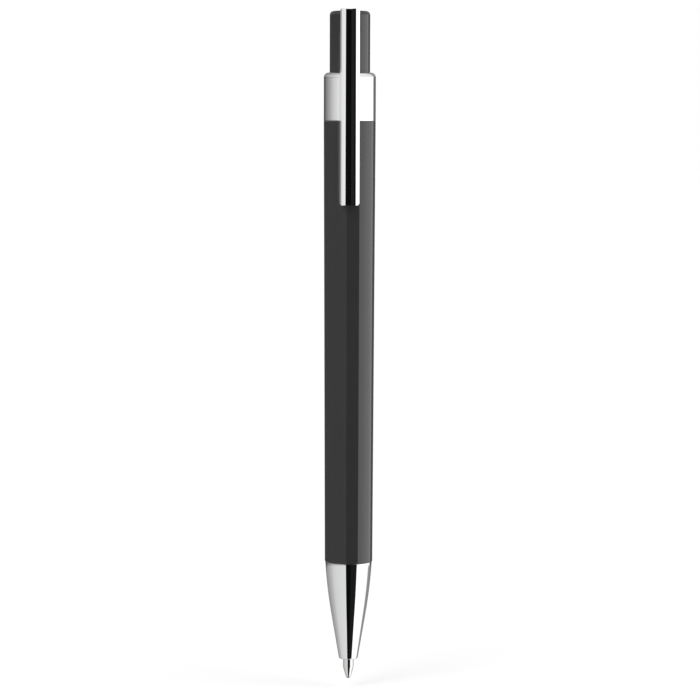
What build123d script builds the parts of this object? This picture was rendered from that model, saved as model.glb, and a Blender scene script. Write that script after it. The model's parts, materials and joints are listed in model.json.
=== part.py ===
from build123d import *
from math import asin, cos, degrees, pi, radians, sin, sqrt, tan
import os

# Retractable ballpoint pen, modelled upright with the writing point down and the clip towards -Y.
# Sizes are in millimetres. Heights run up the pen's axis from the writing point, with the point out.

# Outer form
point_out = 4.25
nose_length = 20.75
nose_mouth_d = 3.94
nose_top_d = 9.78
nose_straight = 9.6
nose_half_angle = 9.7
mouth_round = 0.3
barrel_length = 92.4
barrel_bottom_d = 10.0
barrel_top_d = 10.8
rim_chamfer = 0.12
collar_length = 10.0
collar_round = 1.0
button_d = 8.4
button_rise = 12.7
button_round = 0.8
button_slot_round = 0.2

# Clip
clip_width = 4.1
clip_thickness = 1.0
clip_crown = 0.6
clip_length = 40.7
clip_rise = 0.5
clip_gap = 0.45
clip_corner_round = 0.6
clip_head_dip = 0.32
clip_end_dip = 0.22
clip_edge_round = 0.15
clip_head_round = 0.4
clip_end_round = 0.35
clip_root_height = 5.1
clip_root_depth = 2.3
clip_root_round = 0.6
clip_lug_d = 0.8
clip_lug_reach = 0.45
clip_lug_inset = 0.6
clip_lug_drop = 0.8
clip_bump_r = 1.2
clip_bump_rise = 2.4

# Click mechanism
retract_travel = 5.2
cam_ribs = 4
cam_depth = 0.75
cam_tooth_height = 1.4
cam_rib_width = 1.0
cam_rib_height = 2.6
cam_lead = 10.0
overtravel_margin = 0.2
sleeve_wall = 0.6
sleeve_roof = 2.0
sleeve_skirt = 1.0
sleeve_flange = 1.2
collar_floor = 1.0
spigot_length = 8.0
spigot_wall = 0.75
plunger_wall = 0.75
plunger_key_height = 2.5
plunger_socket = 6.0
plunger_socket_roof = 1.5
button_wall = 1.0
rotor_stem_d = 2.4
rotor_stem_height = 4.0
rotor_body_height = 6.0
rotor_cup_depth = 2.0

# Nose and thread
mouth_land = 2.5
spring_seat_depth = 6.7
thread_length = 7.0
thread_step = 0.2

# Spring
spring_length = 13.0
spring_d = 4.2
spring_wire_d = 0.35
spring_turns = 9
spring_wire_sides = 6

# Refill
ball_d = 1.0
ball_showing = 0.3
point_d = 2.25
point_cone_angle = 15.5
point_lip = 0.05
point_shank_d = 1.6
point_shank_length = 4.0
point_channel_d = 0.6
connector_d = 3.0
connector_step_gap = 1.0
connector_flange = 1.2
connector_channel_d = 1.0
connector_plug_length = 4.0
tube_d = 3.0
tube_wall = 0.4
tube_headspace = 14.7
follower_length = 3.0

# Clearances
running_gap = 0.08
press_gap = 0.02
guide_gap = 0.06
cam_gap = 0.1
stop_gap = 0.05
free_gap = 0.15
slot_side_gap = 0.12
slot_back_gap = 0.12
ball_gap = 0.02
bump_gap = 0.05
round_share = 0.9

# Heights
mouth_z = point_out
seam_z = mouth_z + nose_length
barrel_top_z = seam_z + barrel_length
collar_top_z = barrel_top_z + collar_length
button_top_z = collar_top_z + button_rise
clip_top_z = button_top_z + clip_rise
clip_bottom_z = clip_top_z - clip_length
overtravel = cam_tooth_height + overtravel_margin
collar_floor_z = barrel_top_z + collar_floor
button_bottom_z = collar_floor_z + overtravel + free_gap
clip_root_z = clip_top_z - clip_root_height
button_slot_z = clip_root_z - slot_side_gap
socket_top_z = button_slot_z - plunger_socket_roof
socket_bottom_z = socket_top_z - plunger_socket
spigot_bottom_z = barrel_top_z - spigot_length
flange_bottom_z = spigot_bottom_z - sleeve_flange
cam_slot_top_z = collar_floor_z - sleeve_roof
key_top_z = cam_slot_top_z - retract_travel - stop_gap
key_bottom_z = key_top_z - plunger_key_height
plunger_valley_z = key_bottom_z - running_gap
nose_step_z = mouth_z + mouth_land
spring_seat_z = mouth_z + spring_seat_depth
thread_top_z = seam_z + thread_length
flange_z = spring_seat_z + spring_length
tube_bottom_z = flange_z + connector_flange
plug_top_z = tube_bottom_z + connector_plug_length
connector_bottom_z = nose_step_z + overtravel + connector_step_gap
shank_top_z = connector_bottom_z + point_shank_length

# Radii
ball_r = ball_d / 2
point_r = point_d / 2
tube_r = tube_d / 2
tube_bore_r = tube_r - tube_wall
plug_r = tube_bore_r - press_gap
stem_r = rotor_stem_d / 2
plunger_bore_r = stem_r + running_gap
plunger_r = plunger_bore_r + plunger_wall
land_r = plunger_r + running_gap
cam_slot_r = land_r + cam_depth
cam_mean_r = (land_r + cam_slot_r) / 2
rib_r = cam_slot_r - running_gap
sleeve_r = cam_slot_r + sleeve_wall
spigot_bore_r = sleeve_r + press_gap
spigot_r = spigot_bore_r + spigot_wall
barrel_top_bore_r = spigot_r + press_gap
barrel_bore_r = sleeve_r + free_gap
thread_bore_r = barrel_bore_r + thread_step
thread_r = thread_bore_r - running_gap
barrel_top_r = barrel_top_d / 2
barrel_bottom_r = barrel_bottom_d / 2
button_r = button_d / 2
collar_bore_r = button_r + guide_gap
spring_mean_r = (spring_d - spring_wire_d) / 2
spring_pocket_r = spring_d / 2 + free_gap
connector_r = connector_d / 2
flange_r = spring_d / 2 - free_gap
clip_inner_y = barrel_top_r + clip_gap
clip_outer_y = clip_inner_y + clip_thickness
clip_root_y = button_r - clip_root_depth
clip_half = clip_width / 2

# Cam angles in degrees and the slope that all the cam faces share
cam_step = 180 / cam_ribs
cam_run = 2 * cam_mean_r * sin(radians(cam_step / 2))
cam_slope = cam_tooth_height / cam_run
cam_slot_width = cam_rib_width + 2 * running_gap
slot_half_angle = degrees(asin(cam_slot_width / 2 / cam_mean_r))
tooth_wall_angle = slot_half_angle + cam_lead
plunger_tip_z = plunger_valley_z - cam_tooth_height
rib_lead_z = plunger_valley_z - cam_tooth_height / 2 + cam_slope * cam_rib_width / 2 - cam_gap
cam_pocket_z = rib_lead_z + cam_gap
cam_tip_z = cam_pocket_z - cam_tooth_height
rib_bottom_z = rib_lead_z - cam_rib_height
rotor_bottom_z = rib_bottom_z - rotor_body_height
tube_top_z = rotor_bottom_z + rotor_cup_depth
follower_top_z = tube_top_z - tube_headspace
ink_top_z = follower_top_z - follower_length


def turned(*outline):
    """Solid turned about the pen's axis from points given as radius and height."""
    return revolve(Plane.XZ * make_face(Polyline(*outline, close=True)), Axis.Z)


def rod(radius, bottom, top):
    """Plain round bar on the pen's axis between two heights."""
    return Pos(0, 0, (bottom + top) / 2) * Cylinder(radius, top - bottom)


def around(count, piece):
    """Copies of a piece spaced evenly about the pen's axis."""
    return [Rot(0, 0, 360 * index / count) * piece for index in range(count)]


def outer_rim(piece, highest):
    """The widest circle at the top or the bottom of a turned piece."""
    level = piece.edges().group_by(Axis.Z)[-1 if highest else 0]
    return level.sort_by(SortBy.RADIUS)[-1]


def barrel():
    """Tapered tube, bored for the nose thread, the refill and the collar's spigot."""
    tube = turned(
        (thread_bore_r, seam_z),
        (barrel_bottom_r, seam_z),
        (barrel_top_r, barrel_top_z),
        (barrel_top_bore_r, barrel_top_z),
        (barrel_top_bore_r, flange_bottom_z),
        (barrel_bore_r, flange_bottom_z),
        (barrel_bore_r, thread_top_z + free_gap),
        (thread_bore_r, thread_top_z + free_gap),
    )
    tube = chamfer(outer_rim(tube, highest=False), rim_chamfer)
    return chamfer(outer_rim(tube, highest=True), rim_chamfer)


def nose_cone():
    """Cone that curves into the barrel's line, with a threaded spigot and steps for point and spring."""
    taper = tan(radians(nose_half_angle))
    mouth = (nose_mouth_d / 2, mouth_z)
    waist = (nose_mouth_d / 2 + nose_straight * taper, mouth_z + nose_straight)
    shoulder = (nose_top_d / 2, seam_z)
    flank = Line(mouth, waist) + TangentArc(waist, shoulder, tangent=(taper, 1))
    inside = Polyline(
        shoulder,
        (thread_r, seam_z),
        (thread_r, thread_top_z),
        (spring_pocket_r, thread_top_z),
        (spring_pocket_r, spring_seat_z),
        (connector_r + free_gap, spring_seat_z),
        (connector_r + free_gap, nose_step_z),
        (point_r + running_gap, nose_step_z),
        (point_r + running_gap, mouth_z),
        mouth,
    )
    nose = revolve(Plane.XZ * make_face(flank + inside), Axis.Z)
    mouth_wall = nose_mouth_d / 2 - point_r - running_gap
    return fillet(outer_rim(nose, highest=False), min(mouth_round, round_share * mouth_wall))


def collar_ring():
    """Ring that guides the button, with a spigot pressed into the barrel."""
    ring = turned(
        (collar_bore_r, collar_top_z),
        (collar_bore_r, collar_floor_z),
        (spigot_bore_r, collar_floor_z),
        (spigot_bore_r, spigot_bottom_z),
        (spigot_r, spigot_bottom_z),
        (spigot_r, barrel_top_z),
        (barrel_top_r, barrel_top_z),
        (barrel_top_r, collar_top_z),
    )
    ring_wall = barrel_top_r - collar_bore_r
    return fillet(outer_rim(ring, highest=True), min(collar_round, round_share * ring_wall))


def push_button():
    """Cap with a rounded top edge, a socket for the plunger and a slot for the clip's root."""
    cap = turned(
        (0, button_top_z),
        (button_r, button_top_z),
        (button_r, button_bottom_z),
        (button_r - button_wall, button_bottom_z),
        (button_r - button_wall, socket_bottom_z),
        (plunger_r + press_gap, socket_bottom_z),
        (plunger_r + press_gap, socket_top_z),
        (0, socket_top_z),
    )
    cap = fillet(outer_rim(cap, highest=True), button_round)
    slot_width = clip_width + 2 * slot_side_gap
    slot_back = clip_root_y - slot_back_gap
    slot = Pos(0, -slot_back, button_slot_z) * Box(
        slot_width, button_r, button_top_z, align=(Align.CENTER, Align.MAX, Align.MIN)
    )
    slot = fillet(slot.edges().filter_by(Axis.Y).group_by(Axis.Z)[0], button_slot_round)
    return cap - slot - clip_lugs(running_gap)


def clip_lugs(gap):
    """Round lugs on both sides of the clip's root, on the axis about which the clip springs."""
    length = clip_width + 2 * (clip_lug_reach + gap)
    lugs = Cylinder(clip_lug_d / 2 + gap, length, rotation=(0, 90, 0))
    return Pos(0, -clip_root_y - clip_lug_inset, button_top_z - clip_lug_drop) * lugs


def clip_side():
    """Side outline of the clip: blade, head and the root that enters the button."""
    side = make_face(
        Polyline(
            (-clip_inner_y, clip_bottom_z),
            (-clip_outer_y, clip_bottom_z),
            (-clip_outer_y, clip_top_z),
            (-clip_inner_y, clip_top_z),
            (-clip_root_y, button_top_z - free_gap),
            (-clip_root_y, clip_root_z),
            (-clip_inner_y, clip_root_z),
            close=True,
        )
    )
    corners = side.vertices()
    tip = corners.group_by(Axis.Y)[0]
    head = corners.group_by(Axis.Y)[-1].sort_by(Axis.X)[0]
    throat = corners.group_by(Axis.Y)[1].sort_by(Axis.X)[0]
    side = fillet(tip, clip_end_round)
    side = fillet(side.vertices().sort_by_distance(head)[0], clip_head_round)
    return fillet(side.vertices().sort_by_distance(throat)[0], clip_root_round)


def clip_section():
    """Cross-section of the clip, with a crowned outer face."""
    edge_y = clip_outer_y - clip_crown
    face = ThreePointArc((-clip_half, -edge_y), (0, -clip_outer_y), (clip_half, -edge_y))
    back = Polyline((clip_half, -edge_y), (clip_half, 0), (-clip_half, 0), (-clip_half, -edge_y))
    section = make_face(face + back)
    return fillet(section.vertices().group_by(Axis.Y)[0], clip_edge_round)


def dished_end(height, dip):
    """Arc across the clip's width whose middle is set in by a dip."""
    return ThreePointArc((-clip_half, height), (0, height + dip), (clip_half, height))


def clip_front():
    """Front outline of the clip, with dished ends and rounded corners."""
    top = dished_end(clip_top_z, -clip_head_dip)
    end = dished_end(clip_bottom_z, clip_end_dip)
    front = make_face(top + Line(top @ 1, end @ 1) + end + Line(end @ 0, top @ 0))
    return fillet(front.vertices(), clip_corner_round)


def pocket_clip():
    """One-piece clip: crowned blade, root in the button's slot and a bump that rides the barrel."""
    blade = extrude(Plane.YZ * clip_side(), clip_half, both=True)
    blade &= Pos(0, 0, clip_bottom_z) * extrude(clip_section(), clip_length)
    blade &= extrude(Plane.XZ * clip_front(), clip_outer_y)
    bump_y = barrel_top_r + bump_gap
    bump = Pos(0, -bump_y - clip_bump_r, clip_bottom_z + clip_bump_rise) * Sphere(clip_bump_r)
    bump &= Pos(0, -bump_y, clip_bottom_z) * Box(
        clip_width, clip_gap + clip_thickness / 2, clip_length, align=(Align.CENTER, Align.MAX, Align.MIN)
    )
    return blade + bump + clip_lugs(0)


def ramp_block(start, end, low, bottom, reach):
    """Wedge between two angles, with a top that climbs at the cam slope from a low start."""
    half = radians(end - start) / 2
    run = 2 * cam_mean_r * sin(half)
    middle = low + cam_slope * run / 2
    rise = cam_slope * reach
    slope = Polygon(
        (-reach, bottom), (reach, bottom), (reach, middle + rise), (-reach, middle - rise), align=None
    )
    corner_x = 2 * reach
    corner_y = corner_x * tan(half)
    slice_face = Polygon((0, 0), (corner_x, -corner_y), (corner_x, corner_y), align=None)
    slice_block = Pos(0, 0, bottom) * extrude(slice_face, middle + rise - bottom)
    return Rot(0, 0, (start + end) / 2) * (extrude(Plane.YZ * slope, reach) & slice_block)


def radial_bar(width, reach, bottom, top):
    """Bar along +X from the axis, with its outer end on a cylinder."""
    bar = Pos(0, 0, bottom) * Box(
        2 * reach, width, top - bottom, align=(Align.MIN, Align.CENTER, Align.MIN)
    )
    return bar & rod(reach, bottom, top)


def cam_sleeve():
    """Fixed sleeve: long slots for the ribs, and stop notches between them on its lower crown."""
    skirt_z = cam_tip_z - sleeve_skirt
    sleeve = turned(
        (land_r, cam_tip_z),
        (cam_slot_r, cam_tip_z),
        (cam_slot_r, skirt_z),
        (sleeve_r, skirt_z),
        (sleeve_r, flange_bottom_z),
        (spigot_r, flange_bottom_z),
        (spigot_r, spigot_bottom_z),
        (sleeve_r, spigot_bottom_z),
        (sleeve_r, collar_floor_z),
        (land_r, collar_floor_z),
    )
    slot = radial_bar(cam_slot_width, cam_slot_r, skirt_z, cam_slot_top_z)
    notch_end = slot_half_angle + cam_step
    entry_end = 2 * cam_step - slot_half_angle
    within = rod(cam_slot_r, skirt_z, cam_slot_top_z)
    notch = ramp_block(slot_half_angle, notch_end, cam_tip_z, skirt_z, cam_slot_r) & within
    entry = ramp_block(notch_end, entry_end, cam_tip_z, skirt_z, cam_slot_r) & within
    return sleeve - around(cam_ribs, slot) - around(cam_ribs, notch) - around(cam_ribs, entry)


def cam_plunger():
    """Stem pressed into the button, with keys in the sleeve's slots and a crown of saw teeth."""
    bore_top_z = rib_bottom_z + cam_rib_height + rotor_stem_height + free_gap
    stem = turned(
        (plunger_bore_r, plunger_tip_z),
        (plunger_r, plunger_tip_z),
        (plunger_r, socket_top_z),
        (0, socket_top_z),
        (0, bore_top_z),
        (plunger_bore_r, bore_top_z),
    )
    key = radial_bar(cam_rib_width, rib_r, key_bottom_z, key_top_z)
    bore = rod(plunger_bore_r, key_bottom_z, key_top_z)
    below = plunger_tip_z - cam_tooth_height
    tooth_gap = ramp_block(
        tooth_wall_angle - cam_step, tooth_wall_angle, plunger_tip_z, below, cam_slot_r
    )
    return stem + around(cam_ribs, key - bore) - around(2 * cam_ribs, tooth_gap)


def cam_rotor():
    """Ribbed cam that carries the refill's end, with a pilot stem in the plunger's bore."""
    body = turned(
        (0, rotor_bottom_z + rotor_cup_depth),
        (tube_r + running_gap, rotor_bottom_z + rotor_cup_depth),
        (tube_r + running_gap, rotor_bottom_z),
        (plunger_r, rotor_bottom_z),
        (plunger_r, rib_bottom_z),
        (stem_r, rib_bottom_z),
        (stem_r, rib_lead_z + rotor_stem_height),
        (0, rib_lead_z + rotor_stem_height),
    )
    ramp = ramp_block(
        tooth_wall_angle - cam_step, tooth_wall_angle, plunger_tip_z - cam_gap, rib_bottom_z, cam_slot_r
    )
    rib = radial_bar(cam_rib_width, rib_r, rib_bottom_z, plunger_valley_z) & ramp
    return body + around(cam_ribs, rib)


def refill_point():
    """Turned point: cone, straight shank seat and a cup that holds the ball."""
    lip_z = ball_showing
    lip_r = sqrt((ball_r + ball_gap) ** 2 - (ball_r - lip_z) ** 2) + point_lip
    cone_top_z = lip_z + (point_r - lip_r) / tan(radians(point_cone_angle))
    shank_r = point_shank_d / 2
    point = turned(
        (0, lip_z),
        (lip_r, lip_z),
        (point_r, cone_top_z),
        (point_r, connector_bottom_z),
        (shank_r, connector_bottom_z),
        (shank_r, shank_top_z),
        (0, shank_top_z),
    )
    channel = rod(point_channel_d / 2, ball_r, shank_top_z)
    return point - Pos(0, 0, ball_r) * Sphere(ball_r + ball_gap) - channel


def writing_ball():
    """Ball that rolls in the end of the point."""
    return Pos(0, 0, ball_r) * Sphere(ball_r)


def refill_connector():
    """Plastic holder: grips the point's shank, seats the spring and plugs the tube."""
    grip_r = point_shank_d / 2 + press_gap
    return turned(
        (grip_r, connector_bottom_z),
        (connector_r, connector_bottom_z),
        (connector_r, flange_z),
        (flange_r, flange_z),
        (flange_r, tube_bottom_z),
        (plug_r, tube_bottom_z),
        (plug_r, plug_top_z),
        (connector_channel_d / 2, plug_top_z),
        (connector_channel_d / 2, shank_top_z),
        (grip_r, shank_top_z),
    )


def refill_tube():
    """Ink tube from the connector's flange up into the rotor's cup."""
    return turned(
        (tube_bore_r, tube_bottom_z),
        (tube_r, tube_bottom_z),
        (tube_r, tube_top_z),
        (tube_bore_r, tube_top_z),
    )


def ink_column():
    """Ink in the tube, in the connector's channel and in the point's channel."""
    tube_ink_r = tube_bore_r - press_gap
    channel_ink_r = connector_channel_d / 2 - press_gap
    point_ink_r = point_channel_d / 2 - press_gap
    return turned(
        (0, ball_d + ball_gap),
        (point_ink_r, ball_d + ball_gap),
        (point_ink_r, shank_top_z),
        (channel_ink_r, shank_top_z),
        (channel_ink_r, plug_top_z),
        (tube_ink_r, plug_top_z),
        (tube_ink_r, ink_top_z),
        (0, ink_top_z),
    )


def ink_follower():
    """Plug of grease that follows the ink down the tube."""
    return rod(tube_bore_r - press_gap, ink_top_z, follower_top_z)


def spring_point(turn):
    """Centre of the wire after a number of turns, and its direction there."""
    wire_r = spring_wire_d / 2
    pitch = (spring_length - spring_wire_d) / spring_turns
    angle = 2 * pi * turn
    place = Vector(
        spring_mean_r * cos(angle), spring_mean_r * sin(angle), spring_seat_z + wire_r + pitch * turn
    )
    course = Vector(-sin(angle), cos(angle), pitch / (2 * pi * spring_mean_r))
    return place, course.normalized()


def biarc(turn, turn_end):
    """Two tangent arcs that join two points of the spring's helix."""
    start, out = spring_point(turn)
    end, into = spring_point(turn_end)
    chord = end - start
    both = out + into
    bend = 2 * (1 - out.dot(into))
    reach = (sqrt(chord.dot(both) ** 2 + bend * chord.dot(chord)) - chord.dot(both)) / bend
    middle = (start + out * reach + end - into * reach) * 0.5
    return [TangentArc(start, middle, tangent=out), TangentArc(end, middle, tangent=into * -1)]


def spring_gap():
    """Least gap between the wire and itself, from points along it that are half a turn or more apart."""
    per_turn = 16
    points = [spring_point(step / per_turn)[0] for step in range(per_turn * spring_turns + 1)]
    spans = [(b - a).length for i, a in enumerate(points) for b in points[i + per_turn // 2:]]
    return min(spans) - spring_wire_d


def return_spring():
    """Coil spring between the nose cone's seat and the connector's flange."""
    halves = [half / 2 for half in range(2 * spring_turns)]
    arcs = [arc for turn in halves for arc in biarc(turn, turn + 1 / 2)]
    start, out = spring_point(0)
    wire = RegularPolygon(spring_wire_d / 2, spring_wire_sides)
    print(f"least gap between the spring's turns: {spring_gap():.2f} mm")
    return sweep(Plane(start, z_dir=out) * wire, path=Wire(arcs))


pieces = [
    barrel,
    nose_cone,
    collar_ring,
    push_button,
    pocket_clip,
    cam_sleeve,
    cam_plunger,
    cam_rotor,
    refill_point,
    writing_ball,
    refill_connector,
    refill_tube,
    ink_column,
    ink_follower,
    return_spring,
]

os.makedirs("parts", exist_ok=True)
for piece in pieces:
    export_step(piece(), f"parts/{piece.__name__}.step")
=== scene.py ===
"""Looks of a retractable ballpoint pen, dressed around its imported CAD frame."""
import json
import math

import bmesh
import bpy
from mathutils import Euler, Matrix, Vector


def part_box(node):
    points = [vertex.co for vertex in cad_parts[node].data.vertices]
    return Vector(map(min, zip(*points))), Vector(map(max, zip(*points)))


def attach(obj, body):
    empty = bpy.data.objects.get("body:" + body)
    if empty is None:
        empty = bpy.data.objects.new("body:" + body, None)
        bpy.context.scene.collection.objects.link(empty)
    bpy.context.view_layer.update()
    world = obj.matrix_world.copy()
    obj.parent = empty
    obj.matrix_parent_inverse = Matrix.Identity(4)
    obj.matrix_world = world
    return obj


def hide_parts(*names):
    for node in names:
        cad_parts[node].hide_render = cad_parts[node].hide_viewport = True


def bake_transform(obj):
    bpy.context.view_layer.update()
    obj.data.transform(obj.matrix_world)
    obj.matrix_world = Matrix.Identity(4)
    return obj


MM = 0.001
MICRON = 0.000001

# Camera, as in the photograph: pixels are those of its 700 by 700 frame
FRAME_PIXELS = 700
PIXELS_PER_MM = 4.775
CAMERA_ELEVATION = math.radians(4.745)
CAMERA_DISTANCE = 0.578
CAMERA_ROLL = math.radians(0.16)
CAMERA_NEAR = 0.01
CAMERA_FAR = 50
AIM = Vector((0.19, 0, 69.59)) * MM
SENSOR = 36.0

# Lamps and surroundings, in metres and watts
KEY_PLACE = (-0.5, -0.6, 0.9)
KEY_WATTS = 3.0
FILL_PLACE = (0.7, -0.3, 0.6)
FILL_WATTS = 2.0
LAMP_SIZE = 0.6
WORLD_LIGHT = 0.6
WORLD_SEEN = 1.0

# Floor, in metres, with its glow by distance from the pen as a share of the fade
FLOOR_DROP = 2.0 * MM
FLOOR_SIZE = 12.0
FLOOR_GREY = 0.6
FLOOR_FADE = 2.0
FLOOR_GLOW = [(0, 0.505), (0.1, 0.53), (0.25, 0.575), (0.5, 0.625), (1, 0.65)]

# Closed drum of cards round the pen, in metres, seen only in its reflections
DRUM_RADIUS = 0.7
DRUM_SEGMENTS = 96

# Brightness of the cards by angle round the pen, in degrees to the right of the camera
BLACK_LEFT = [(-180, 0.12), (-142, 0.1), (-125, 0.14), (-90, 0.23), (-60, 0.25)]
BLACK_RIGHT = [(66, 1.38), (85, 1.6), (105, 1.48), (115, 1.4), (126, 1.5), (134, 0.2), (180, 0.12)]
CHROME_LEFT = [(-180, 0.15), (-142, 0.17), (-130, 0.25), (-100, 0.42), (-75, 0.66), (-60, 0.76)]
CHROME_RIGHT = [(66, 1.4), (124, 1.3), (134, 0.23), (180, 0.15)]
BARREL_STRIP = [(-12.5, 0.26), (-12, 0.004), (45, 0.01), (46, 1.26)]
CLIP_STRIP = [
    (-55, 0.28), (-51, 0.82), (-26.5, 0.92), (-26, 0.004), (8, 0.004),
    (14, 0.016), (26, 0.016), (30, 0.006), (38, 0.006), (39, 1.3),
]
NOSE_CARDS = [
    (-180, 0.5), (-150, 0.48), (-130, 0.44), (-114, 0.48), (-96, 0.56), (-84, 0.68),
    (-60, 0.74), (-13.5, 0.8), (-13, 0.004), (8, 0.004), (14, 0.012), (42, 0.012),
    (43, 1.3), (113, 1.25), (122, 0.34), (180, 0.45),
]
ROOF_CARDS = [
    (-180, 0.4), (-130, 0.4), (-90, 0.6), (-50, 0.8), (-26.5, 0.85),
    (-26, 0.004), (38, 0.004), (39, 0.95), (125, 0.9), (135, 0.45), (180, 0.4),
]
BARREL_CARDS = BLACK_LEFT + BARREL_STRIP + BLACK_RIGHT
CLIP_CARDS = BLACK_LEFT + CLIP_STRIP + BLACK_RIGHT
COLLAR_CARDS = CHROME_LEFT + CLIP_STRIP[1:] + CHROME_RIGHT

# Bands of the drum from bottom to top, each with its top, the cards at its bottom and those at its top
DRUM_BASE = -0.8
DRUM_BANDS = [
    ("nose_cards", -0.125, NOSE_CARDS, NOSE_CARDS),
    ("seam_cards", -0.0945, NOSE_CARDS, BARREL_CARDS),
    ("barrel_cards", 0.0755, BARREL_CARDS, BARREL_CARDS),
    ("clip_cards", 0.1175, CLIP_CARDS, CLIP_CARDS),
    ("collar_cards", 0.1395, COLLAR_CARDS, COLLAR_CARDS),
    ("button_cards", 0.175, CLIP_CARDS, CLIP_CARDS),
    ("roof_cards", 0.9, ROOF_CARDS, ROOF_CARDS),
]

# Noise of the surfaces, in features to the metre, and the ranges over which its effects come in
CLOUDS = 160
SMUDGES = 210
SMUDGE_RANGE = (0.35, 0.7)
HAIRLINES = 9000
HAIRLINE_STRETCH = (1, 1, 0.02)
HAIRLINE_RANGE = (0.62, 0.7)
# Patches and range of the convex-edge mask, which paints edges lighter: partly wear, partly a painted
# highlight
EDGE_HIGHLIGHT_AND_RUB_PATCHES = 2500
EDGE_HIGHLIGHT_AND_RUB_RANGE = (0.52, 0.62)

# Finishes, in the words of surface(), with grain and relief in metres
MARKS = (0.03, 0.03, 1)
# The lighter edge colours of BLACK and PLATED stand for wear and are partly a painted edge highlight
BLACK = {
    "rough": (0.03, 0.06), "grain": 0.7 * MM, "relief": 0.4 * MICRON, "spread": 0.06, "scratch": 0.03,
    "worn": (0.06, 0.06, 0.06), "IOR": 1.6,
}
PLATED = {
    "rough": (0.012, 0.028), "grain": 0.6 * MM, "relief": 0.1 * MICRON, "spread": 0.015, "scratch": 0.012,
    "worn": (0.93, 0.93, 0.93), "Metallic": 1.0, "Specular_Tint": (0.55, 0.55, 0.55, 1),
}
TURNED = {
    "rough": (0.05, 0.08), "grain": 0.06 * MM, "relief": 0.3 * MICRON, "spread": 0.03,
    "lines": MARKS, "Metallic": 1.0,
}
DRAWN = {
    "rough": (0.18, 0.3), "grain": 0.1 * MM, "relief": 0.8 * MICRON, "spread": 0.06,
    "lines": MARKS, "Metallic": 1.0,
}
GROUND = {"rough": (0.16, 0.26), "grain": 0.05 * MM, "relief": 0.5 * MICRON, "Metallic": 1.0}
MOULDED = {"rough": (0.38, 0.5), "grain": 0.4 * MM, "relief": 2 * MICRON, "spread": 0.03}
CLEAR = {
    "rough": (0.2, 0.3), "grain": 0.6 * MM, "relief": MICRON, "spread": 0.02,
    "Transmission_Weight": 0.7, "IOR": 1.49,
}
PASTE = {"rough": (0.1, 0.2), "grain": 0.6 * MM, "relief": MICRON, "spread": 0.2}
JELLY = {"rough": (0.1, 0.2), "grain": 0.6 * MM, "relief": MICRON, "Transmission_Weight": 0.6, "IOR": 1.47}

# Material slots of the record, each with its material's name, colour and finish
SLOTS = {
    "barrel_plastic": ("gloss_black", (0.0305, 0.0305, 0.031), BLACK),
    "button_plastic": ("gloss_black_button", (0.021, 0.021, 0.0215), BLACK),
    "chrome": ("chrome", (0.88, 0.885, 0.89), PLATED),
    "point_metal": ("nickel_silver", (0.8, 0.795, 0.78), TURNED),
    "ball_steel": ("carbide", (0.1, 0.1, 0.105), GROUND),
    "spring_steel": ("spring_wire", (0.6, 0.6, 0.62), DRAWN),
    "cam_plastic": ("cam_plastic", (0.72, 0.72, 0.69), MOULDED),
    "connector_plastic": ("connector_plastic", (0.75, 0.75, 0.71), MOULDED),
    "tube_plastic": ("tube_plastic", (0.86, 0.86, 0.84), CLEAR),
    "ink": ("ink", (0.006, 0.008, 0.05), PASTE),
    "grease": ("grease", (0.8, 0.76, 0.62), JELLY),
}

# Fineness of the turned pieces, with lengths in millimetres
TURN_SEGMENTS = 128
ARC_STEPS = 8
LONG_RUN = 2.0
HOLD = 0.1
CRISP_ANGLE = math.radians(30)

# Barrel and collar, in millimetres
BARREL_BOTTOM_R = 5.0
BARREL_TOP_R = 5.4
BARREL_BORE_R = 3.61
THREAD_BORE_R = 3.81
THREAD_END_GAP = 0.15
SOCKET_R = 4.25
SOCKET_DEPTH = 9.2
SOCKET_ROUND = 0.1
RIM_ROUND = 0.12
COLLAR_BORE_R = 4.26
COLLAR_FLOOR = 1.0
COLLAR_ROUND = 1.0
COLLAR_EDGE_ROUND = 0.06
SPIGOT_R = 4.23
SPIGOT_BORE_R = 3.48
SPIGOT_ROUND = 0.15

# Nose cone, in millimetres
MOUTH_R = 1.97
MOUTH_ROUND = 0.3
MOUTH_LAND = 2.5
SHOULDER_R = 4.89
SHOULDER_ROUND = 0.08
NOSE_STRAIGHT = 9.6
NOSE_HALF_ANGLE = math.radians(9.7)
THREAD_R = 3.73
THREAD_ROUND = 0.2
SPRING_POCKET_R = 2.25
CONNECTOR_GUIDE_R = 1.65
POINT_GUIDE_R = 1.205
POINT_GUIDE_ROUND = 0.05

# Writing point and ball, in millimetres
LIP_R = 0.53
LIP_ROUND = 0.02
POINT_R = 1.125
POINT_CONE_ANGLE = math.radians(15.5)
POINT_CONE_ROUND = 0.15
POINT_SEAT_ROUND = 0.08
SHANK_R = 0.8
SHANK_ROUND = 0.1
CHANNEL_R = 0.3
BALL_GAP = 0.02
BALL_SUBDIVISIONS = 4

# Spring, in millimetres
SPRING_SEAT_DEPTH = 6.7
SPRING_LENGTH = 13.0
SPRING_MEAN_R = 1.925
SPRING_WIRE_R = 0.175
SPRING_ACTIVE_TURNS = 9
SPRING_END_TURNS = 1
SPRING_STEPS = 28
SPRING_WIRE_SIDES = 12

# Colour sockets of the mix node, whose names repeat for each kind of data
MIX_LOW, MIX_HIGH, MIX_RESULT = 6, 7, 2


def new_material(name):
    """An empty node material."""
    material = bpy.data.materials.new(name)
    material.use_nodes = True
    material.node_tree.nodes.clear()
    return material


def finish_material(material, shader):
    """Links the shader to the material's output."""
    tree = material.node_tree
    output = tree.nodes.new("ShaderNodeOutputMaterial")
    tree.links.new(shader, output.inputs["Surface"])
    return material


def add(tree, kind, **settings):
    """A node with its settings; names that start with a capital letter are input sockets."""
    node = tree.nodes.new(kind)
    for key, value in settings.items():
        if key[0].isupper():
            node.inputs[key.replace("_", " ")].default_value = value
        else:
            setattr(node, key, value)
    return node


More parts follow.
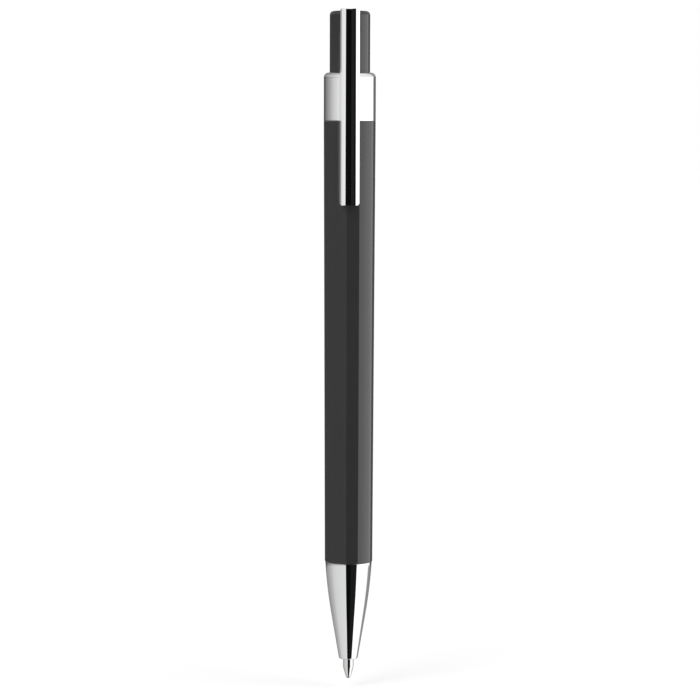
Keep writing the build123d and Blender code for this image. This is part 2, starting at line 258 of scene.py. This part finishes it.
def ramp(tree, source, stops):
    """Colour ramp over grey levels, given as (place, level)."""
    node = tree.nodes.new("ShaderNodeValToRGB")
    elements = node.color_ramp.elements
    while len(elements) < len(stops):
        elements.new(0.5)
    for element, (place, level) in zip(elements, stops):
        element.position = place
        element.color = (level, level, level, 1)
    tree.links.new(source, node.inputs["Fac"])
    return node.outputs["Color"]


def noise(tree, scale, detail=4, stretch=(1, 1, 1)):
    """Noise in object space, with features of about 1/scale metres before the stretch."""
    place = tree.nodes.new("ShaderNodeTexCoord")
    mapping = tree.nodes.new("ShaderNodeMapping")
    mapping.inputs["Scale"].default_value = stretch
    texture = add(tree, "ShaderNodeTexNoise", Scale=scale, Detail=detail)
    tree.links.new(place.outputs["Object"], mapping.inputs["Vector"])
    tree.links.new(mapping.outputs["Vector"], texture.inputs["Vector"])
    return texture.outputs["Fac"]


def combine(tree, operation, first, second):
    """Result of a math node on two sockets, or on a socket and a number."""
    node = add(tree, "ShaderNodeMath", operation=operation)
    tree.links.new(first, node.inputs[0])
    if isinstance(second, float):
        node.inputs[1].default_value = second
    else:
        tree.links.new(second, node.inputs[1])
    return node.outputs["Value"]


def share_of(tree, source, low, high):
    """A socket's place between two values, from 0 to 1."""
    node = add(tree, "ShaderNodeMapRange", From_Min=low, From_Max=high)
    tree.links.new(source, node.inputs["Value"])
    return node.outputs["Result"]


def mixed(tree, factor, low, high):
    """Colour between two colours, by a factor socket. Either colour may be a socket itself."""
    node = add(tree, "ShaderNodeMix", data_type="RGBA")
    tree.links.new(factor, node.inputs["Factor"])
    for socket, colour in ((node.inputs[MIX_LOW], low), (node.inputs[MIX_HIGH], high)):
        if isinstance(colour, tuple):
            socket.default_value = (*colour, 1)
        else:
            tree.links.new(colour, socket)
    return node.outputs[MIX_RESULT]


def tinted(tree, colour, spread, worn):
    """Cloudy colour, with convex edges painted lighter in patches if an edge colour is given: partly wear,
    partly a painted highlight.
    """
    low = tuple(channel * (1 - spread) for channel in colour)
    high = tuple(channel * (1 + spread) for channel in colour)
    tint = mixed(tree, noise(tree, CLOUDS), low, high)
    if worn is None:
        return tint
    # Convex edges are painted lighter in patches: partly wear, partly a painted edge highlight
    edges = tree.nodes.new("ShaderNodeNewGeometry").outputs["Pointiness"]
    highlit_and_scuffed_edges = ramp(tree, edges, list(zip(EDGE_HIGHLIGHT_AND_RUB_RANGE, (0, 1))))
    edge_highlight_and_scuff_patches = combine(tree, "MULTIPLY", highlit_and_scuffed_edges, noise(tree, EDGE_HIGHLIGHT_AND_RUB_PATCHES, detail=6))
    return mixed(tree, edge_highlight_and_scuff_patches, tint, worn)


def smudged(tree, rough, scratch):
    """Roughness with smudges, and with hairline scratches along the pen if asked."""
    gloss = ramp(tree, noise(tree, SMUDGES, detail=6), list(zip(SMUDGE_RANGE, rough)))
    if not scratch:
        return gloss
    lines = noise(tree, HAIRLINES, detail=2, stretch=HAIRLINE_STRETCH)
    return combine(tree, "ADD", gloss, ramp(tree, lines, list(zip(HAIRLINE_RANGE, (0, scratch)))))


def surface(
    name, colour, rough, grain, relief, spread=0.05, scratch=0.0, worn=None, lines=(1, 1, 1), **sockets
):
    """Principled surface with cloudy colour, smudged and scratched gloss, fine grain, and convex edges
    painted lighter: partly wear, partly a painted highlight.

    rough is the least and the greatest roughness, spread the share by which the colour varies, and scratch
    the roughness that hairlines add. grain is the size of the relief's features and relief their height, both
    in metres. lines scales the relief's noise along each axis, for turning or drawing marks. The edge colour
    argument is painted over convex edges in patches: partly wear, partly a painted highlight.
    """
    material = new_material(name)
    tree = material.node_tree
    shader = add(tree, "ShaderNodeBsdfPrincipled", **sockets)
    tree.links.new(tinted(tree, colour, spread, worn), shader.inputs["Base Color"])
    tree.links.new(smudged(tree, rough, scratch), shader.inputs["Roughness"])
    bump = add(tree, "ShaderNodeBump", Strength=1.0, Distance=relief)
    tree.links.new(noise(tree, 1 / grain, detail=3, stretch=lines), bump.inputs["Height"])
    tree.links.new(bump.outputs["Normal"], shader.inputs["Normal"])
    return finish_material(material, shader.outputs["BSDF"])


def make_materials():
    """One material for each slot of the record."""
    return {slot: surface(name, colour, **finish) for slot, (name, colour, finish) in SLOTS.items()}


def bottom_of(node):
    """Height of a CAD node's lowest point, in millimetres."""
    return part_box(node)[0].z / MM


def top_of(node):
    """Height of a CAD node's highest point, in millimetres."""
    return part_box(node)[1].z / MM


def node_body(node):
    """The body that carries a node."""
    bodies = frame["record"]["behaviour"]["bodies"]
    return next(body for body, nodes in bodies.items() if node in nodes)


def node_slot(node):
    """The material slot of a node."""
    return next(part["material_slot"] for part in frame["record"]["subparts"] if part["node"] == node)


def dress_nodes():
    """Gives each CAD node the material of its slot."""
    for name, node in frame["nodes"].items():
        node.data.materials.clear()
        node.data.materials.append(materials[node_slot(name)])


def stand_for(piece, node):
    """Gives a piece the finish of a CAD node and hides the node."""
    slot = node_slot(node)
    piece.data.materials.append(materials[slot])
    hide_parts(node)


def arc_points(centre, start, end):
    """Points on the shorter arc from start to end about a centre, all in the plane of radius and height."""
    first = start - centre
    last = end - centre
    from_angle = math.atan2(first.y, first.x)
    turn = math.remainder(math.atan2(last.y, last.x) - from_angle, 2 * math.pi)
    angles = [from_angle + turn * step / ARC_STEPS for step in range(ARC_STEPS + 1)]
    return [centre + first.length * Vector((math.cos(angle), math.sin(angle))) for angle in angles]


def rounded(corners):
    """Closed outline through corners given as radius, height and rounding, with an arc at each round."""
    outline = []
    for index, (radius, height, size) in enumerate(corners):
        corner = Vector((radius, height))
        if not size:
            outline.append(corner)
            continue
        before = (Vector(corners[index - 1][:2]) - corner).normalized()
        after = (Vector(corners[(index + 1) % len(corners)][:2]) - corner).normalized()
        half = before.angle(after) / 2
        centre = corner + (before + after).normalized() * size / math.sin(half)
        reach = size / math.tan(half)
        outline += arc_points(centre, corner + before * reach, corner + after * reach)
    return outline


def held(outline):
    """The outline with a point near each end of its long runs, which keeps them straight when smoothed."""
    dense = []
    for index, point in enumerate(outline):
        dense.append(point)
        run = outline[(index + 1) % len(outline)] - point
        if run.length > LONG_RUN:
            step = run.normalized() * HOLD
            dense += [point + step, point + run - step]
    return dense


def keep_mesh(name, mesh):
    """An object with smooth faces and crisp corners, made from a bmesh."""
    bmesh.ops.recalc_face_normals(mesh, faces=mesh.faces)
    for face in mesh.faces:
        face.smooth = True
    for edge in mesh.edges:
        edge.smooth = edge.calc_face_angle(0) < CRISP_ANGLE
    data = bpy.data.meshes.new(name)
    mesh.to_mesh(data)
    mesh.free()
    piece = bpy.data.objects.new(name, data)
    bpy.context.scene.collection.objects.link(piece)
    return piece


def bridge(mesh, first, second):
    """Faces between two rings that have the same number of points."""
    for index, corner in enumerate(first):
        after = (index + 1) % len(first)
        mesh.faces.new((corner, first[after], second[after], second[index]))


def turned_piece(node, corners):
    """Finely turned piece that stands for a CAD node, on its body and in its material."""
    mesh = bmesh.new()
    angles = [2 * math.pi * step / TURN_SEGMENTS for step in range(TURN_SEGMENTS)]
    rings = [
        [mesh.verts.new(Vector((r * math.cos(a), r * math.sin(a), z)) * MM) for a in angles]
        for r, z in held(rounded(corners))
    ]
    for index, ring in enumerate(rings):
        bridge(mesh, rings[index - 1], ring)
    piece = keep_mesh("turned_" + node, mesh)
    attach(piece, node_body(node))
    stand_for(piece, node)


def barrel_corners():
    """Outline of the barrel: the tapered outside, then the bores for the collar, the refill and the nose."""
    seam = bottom_of("barrel")
    top = top_of("barrel")
    thread_end = top_of("nose_cone") + THREAD_END_GAP
    return [
        (THREAD_BORE_R, seam, 0),
        (BARREL_BOTTOM_R, seam, RIM_ROUND),
        (BARREL_TOP_R, top, RIM_ROUND),
        (SOCKET_R, top, SOCKET_ROUND),
        (SOCKET_R, top - SOCKET_DEPTH, 0),
        (BARREL_BORE_R, top - SOCKET_DEPTH, 0),
        (BARREL_BORE_R, thread_end, 0),
        (THREAD_BORE_R, thread_end, 0),
    ]


def collar_corners():
    """Outline of the collar: the button's bore, the spigot in the barrel and the round-shouldered ring."""
    seat = top_of("barrel")
    top = top_of("collar_ring")
    spigot_end = bottom_of("collar_ring")
    return [
        (COLLAR_BORE_R, top, COLLAR_EDGE_ROUND),
        (COLLAR_BORE_R, seat + COLLAR_FLOOR, 0),
        (SPIGOT_BORE_R, seat + COLLAR_FLOOR, 0),
        (SPIGOT_BORE_R, spigot_end, 0),
        (SPIGOT_R, spigot_end, SPIGOT_ROUND),
        (SPIGOT_R, seat, 0),
        (BARREL_TOP_R, seat, COLLAR_EDGE_ROUND),
        (BARREL_TOP_R, top, COLLAR_ROUND),
    ]


def nose_corners():
    """Outline of the nose cone: a straight flank that runs into an arc, and the stepped inside."""
    mouth = Vector((MOUTH_R, bottom_of("nose_cone")))
    shoulder = Vector((SHOULDER_R, bottom_of("barrel")))
    course = Vector((math.tan(NOSE_HALF_ANGLE), 1)).normalized()
    waist = mouth + course * NOSE_STRAIGHT / course.y
    chord = shoulder - waist
    side = Vector((course.y, -course.x))
    radius = chord.length_squared / (2 * chord.dot(side))
    flank = arc_points(waist + side * radius, waist, shoulder)
    corners = [(*mouth, MOUTH_ROUND)]
    corners += [(*point, 0) for point in flank[:-1]]
    corners.append((*shoulder, SHOULDER_ROUND))
    return corners + nose_inside(mouth.y, shoulder.y)


def nose_inside(mouth, seam):
    """Inside of the nose cone: thread, spring pocket, guide of the connector and guide of the point."""
    thread_end = top_of("nose_cone")
    spring_seat = mouth + SPRING_SEAT_DEPTH
    step = mouth + MOUTH_LAND
    return [
        (THREAD_R, seam, 0),
        (THREAD_R, thread_end, THREAD_ROUND),
        (SPRING_POCKET_R, thread_end, 0),
        (SPRING_POCKET_R, spring_seat, 0),
        (CONNECTOR_GUIDE_R, spring_seat, 0),
        (CONNECTOR_GUIDE_R, step, 0),
        (POINT_GUIDE_R, step, 0),
        (POINT_GUIDE_R, mouth, POINT_GUIDE_ROUND),
    ]


def point_corners():
    """Outline of the refill's point: cone, shank, ink channel and the cup round the ball."""
    lip = bottom_of("refill_point")
    seat = bottom_of("refill_connector")
    shank_end = top_of("refill_point")
    cone_top = lip + (POINT_R - LIP_R) / math.tan(POINT_CONE_ANGLE)
    outside = [
        (LIP_R, lip, LIP_ROUND),
        (POINT_R, cone_top, POINT_CONE_ROUND),
        (POINT_R, seat, POINT_SEAT_ROUND),
        (SHANK_R, seat, 0),
        (SHANK_R, shank_end, SHANK_ROUND),
        (CHANNEL_R, shank_end, 0),
    ]
    return outside + cup_corners(lip)


def cup_corners(lip):
    """The cup from the ink channel down to the point's lip, a little wider than the ball."""
    ball_r = top_of("writing_ball") / 2
    cup_r = ball_r + BALL_GAP
    top = Vector((CHANNEL_R, ball_r + math.sqrt(cup_r ** 2 - CHANNEL_R ** 2)))
    rim = Vector((math.sqrt(cup_r ** 2 - (ball_r - lip) ** 2), lip))
    return [(*point, 0) for point in arc_points(Vector((0, ball_r)), top, rim)]


def make_ball():
    """Smooth writing ball, whose lowest point is the origin."""
    mesh = bmesh.new()
    radius = top_of("writing_ball") / 2 * MM
    rise = Matrix.Translation((0, 0, radius))
    bmesh.ops.create_icosphere(mesh, subdivisions=BALL_SUBDIVISIONS, radius=radius, matrix=rise)
    piece = keep_mesh("round_writing_ball", mesh)
    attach(piece, node_body("writing_ball"))
    stand_for(piece, "writing_ball")


def spring_rise(turn):
    """Height of the wire's centre above the seat: closed turns at both ends, open ones between."""
    closed = 2 * SPRING_WIRE_R
    rise = SPRING_LENGTH - closed - 2 * SPRING_END_TURNS * closed
    open_turns = min(max(turn - SPRING_END_TURNS, 0), SPRING_ACTIVE_TURNS)
    return SPRING_WIRE_R + (turn - open_turns) * closed + rise * open_turns / SPRING_ACTIVE_TURNS


def spring_rings(mesh, seat):
    """Rings of points round the wire, from the spring's seat to its top."""
    turns = SPRING_ACTIVE_TURNS + 2 * SPRING_END_TURNS
    around = [2 * math.pi * side / SPRING_WIRE_SIDES for side in range(SPRING_WIRE_SIDES)]
    rings = []
    for step in range(turns * SPRING_STEPS + 1):
        angle = 2 * math.pi * step / SPRING_STEPS
        out = Vector((math.cos(angle), math.sin(angle), 0))
        centre = out * SPRING_MEAN_R + Vector((0, 0, seat + spring_rise(step / SPRING_STEPS)))
        offsets = [out * math.cos(a) + Vector((0, 0, math.sin(a))) for a in around]
        rings.append([mesh.verts.new((centre + offset * SPRING_WIRE_R) * MM) for offset in offsets])
    return rings


def make_spring():
    """Round-wire coil spring between its seat and the refill's flange."""
    seat = bottom_of("nose_cone") + SPRING_SEAT_DEPTH
    mesh = bmesh.new()
    rings = spring_rings(mesh, seat)
    for first, second in zip(rings, rings[1:]):
        bridge(mesh, first, second)
    mesh.faces.new(rings[0])
    mesh.faces.new(rings[-1])
    piece = keep_mesh("coil_return_spring", mesh)
    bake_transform(piece)
    stand_for(piece, "return_spring")


def card_levels(tree, turn, cards):
    """Brightness of a row of cards, by the share of a whole turn round the pen."""
    return ramp(tree, turn, [((degrees + 180) / 360, level) for degrees, level in cards])


def card_material(name, heights, low, high):
    """Emission that changes with the angle round the pen, and from the low cards to the high ones."""
    material = new_material(name)
    tree = material.node_tree
    place = tree.nodes.new("ShaderNodeNewGeometry")
    split = tree.nodes.new("ShaderNodeSeparateXYZ")
    tree.links.new(place.outputs["Position"], split.inputs["Vector"])
    front = combine(tree, "MULTIPLY", split.outputs["Y"], -1.0)
    angle = combine(tree, "ARCTAN2", split.outputs["X"], front)
    turn = share_of(tree, angle, -math.pi, math.pi)
    rise = share_of(tree, split.outputs["Z"], *heights)
    level = mixed(tree, rise, card_levels(tree, turn, low), card_levels(tree, turn, high))
    glow = tree.nodes.new("ShaderNodeEmission")
    tree.links.new(level, glow.inputs["Color"])
    return finish_material(material, glow.outputs["Emission"])


def make_cards(name, heights, low, high, lid):
    """One band of the drum of cards, seen only in reflections, with a lid on one of its two rims if asked."""
    mesh = bmesh.new()
    angles = [2 * math.pi * step / DRUM_SEGMENTS for step in range(DRUM_SEGMENTS)]
    rim = [Vector((math.cos(a), math.sin(a), 0)) * DRUM_RADIUS for a in angles]
    rings = [[mesh.verts.new(point + Vector((0, 0, z))) for point in rim] for z in heights]
    bridge(mesh, *rings)
    if lid is not None:
        mesh.faces.new(rings[lid])
    drum = keep_mesh(name, mesh)
    drum.data.materials.append(card_material(name, heights, low, high))
    drum.visible_camera = False
    drum.visible_diffuse = False
    drum.visible_shadow = False


def make_drum():
    """The closed drum of cards, from its base to its roof."""
    lids = {0: 0, len(DRUM_BANDS) - 1: -1}
    bottom = DRUM_BASE
    for index, (name, top, low, high) in enumerate(DRUM_BANDS):
        make_cards(name, (bottom, top), low, high, lids.get(index))
        bottom = top


def floor_material():
    """Pale floor that glows less where the lamps light it, so that it is white and still shows shadows."""
    material = new_material("floor")
    tree = material.node_tree
    matt = add(tree, "ShaderNodeBsdfDiffuse", Color=(FLOOR_GREY, FLOOR_GREY, FLOOR_GREY, 1))
    place = tree.nodes.new("ShaderNodeNewGeometry")
    reach = add(tree, "ShaderNodeVectorMath", operation="LENGTH")
    tree.links.new(place.outputs["Position"], reach.inputs["Vector"])
    share = share_of(tree, reach.outputs["Value"], 0, FLOOR_FADE)
    glow = tree.nodes.new("ShaderNodeEmission")
    tree.links.new(ramp(tree, share, FLOOR_GLOW), glow.inputs["Color"])
    both = tree.nodes.new("ShaderNodeAddShader")
    tree.links.new(matt.outputs["BSDF"], both.inputs[0])
    tree.links.new(glow.outputs["Emission"], both.inputs[1])
    return finish_material(material, both.outputs["Shader"])


def make_floor():
    """Wide floor just below the point, left out of reflections."""
    half = FLOOR_SIZE / 2
    mesh = bpy.data.meshes.new("floor")
    corners = [(-half, -half), (half, -half), (half, half), (-half, half)]
    mesh.from_pydata([(x, y, -FLOOR_DROP) for x, y in corners], [], [(0, 1, 2, 3)])
    mesh.materials.append(floor_material())
    floor = bpy.data.objects.new("floor", mesh)
    bpy.context.scene.collection.objects.link(floor)
    floor.visible_glossy = False


def make_world():
    """White all round for the camera, reflections and glass, and a little softer as a light."""
    world = bpy.data.worlds.new("studio")
    bpy.context.scene.world = world
    world.use_nodes = True
    tree = world.node_tree
    tree.nodes.clear()
    path = tree.nodes.new("ShaderNodeLightPath")
    seen = path.outputs["Is Camera Ray"]
    for kind in ("Is Glossy Ray", "Is Transmission Ray"):
        seen = combine(tree, "MAXIMUM", seen, path.outputs[kind])
    light = add(tree, "ShaderNodeBackground", Color=(1, 1, 1, 1), Strength=WORLD_LIGHT)
    white = add(tree, "ShaderNodeBackground", Color=(1, 1, 1, 1), Strength=WORLD_SEEN)
    mix = tree.nodes.new("ShaderNodeMixShader")
    output = tree.nodes.new("ShaderNodeOutputWorld")
    tree.links.new(seen, mix.inputs["Fac"])
    tree.links.new(light.outputs["Background"], mix.inputs[1])
    tree.links.new(white.outputs["Background"], mix.inputs[2])
    tree.links.new(mix.outputs["Shader"], output.inputs["Surface"])


def make_lamp(name, place, watts):
    """Soft area lamp aimed at the middle of the pen, left out of reflections."""
    lamp = bpy.data.lights.new(name, "AREA")
    lamp.shape = "DISK"
    lamp.size = LAMP_SIZE
    lamp.energy = watts
    lamp_object = bpy.data.objects.new(name, lamp)
    lamp_object.location = place
    lamp_object.rotation_euler = (AIM - Vector(place)).to_track_quat("-Z", "Y").to_euler()
    bpy.context.scene.collection.objects.link(lamp_object)
    lamp_object.visible_glossy = False
    lamp_object.visible_camera = False


def make_camera():
    """Long lens at the photograph's angle, framed so that the pen fills the same pixels."""
    camera = bpy.data.cameras.new("camera")
    camera.sensor_width = SENSOR
    field = FRAME_PIXELS / PIXELS_PER_MM * MM
    camera.lens = SENSOR * CAMERA_DISTANCE / field
    camera.clip_start = CAMERA_NEAR
    camera.clip_end = CAMERA_FAR
    camera_object = bpy.data.objects.new("camera", camera)
    back = Vector((0, -math.cos(CAMERA_ELEVATION), math.sin(CAMERA_ELEVATION)))
    camera_object.location = AIM + back * CAMERA_DISTANCE
    turn = (-back).to_track_quat("-Z", "Y") @ Euler((0, 0, CAMERA_ROLL)).to_quaternion()
    camera_object.rotation_mode = "QUATERNION"
    camera_object.rotation_quaternion = turn
    bpy.context.scene.collection.objects.link(camera_object)
    bpy.context.scene.camera = camera_object


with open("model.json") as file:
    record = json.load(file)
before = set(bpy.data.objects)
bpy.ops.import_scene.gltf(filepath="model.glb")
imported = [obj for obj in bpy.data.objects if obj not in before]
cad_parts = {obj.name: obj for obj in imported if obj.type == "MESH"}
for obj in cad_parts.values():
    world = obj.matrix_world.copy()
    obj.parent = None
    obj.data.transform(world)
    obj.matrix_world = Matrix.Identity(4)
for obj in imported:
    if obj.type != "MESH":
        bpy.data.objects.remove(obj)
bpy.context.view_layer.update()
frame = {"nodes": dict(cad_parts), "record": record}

materials = make_materials()
dress_nodes()
turned_piece("barrel", barrel_corners())
turned_piece("collar_ring", collar_corners())
turned_piece("nose_cone", nose_corners())
turned_piece("refill_point", point_corners())
make_ball()
make_spring()
make_floor()
make_world()
make_drum()
make_lamp("key_lamp", KEY_PLACE, KEY_WATTS)
make_lamp("fill_lamp", FILL_PLACE, FILL_WATTS)
make_camera()
bpy.context.scene.view_settings.view_transform = "Standard"
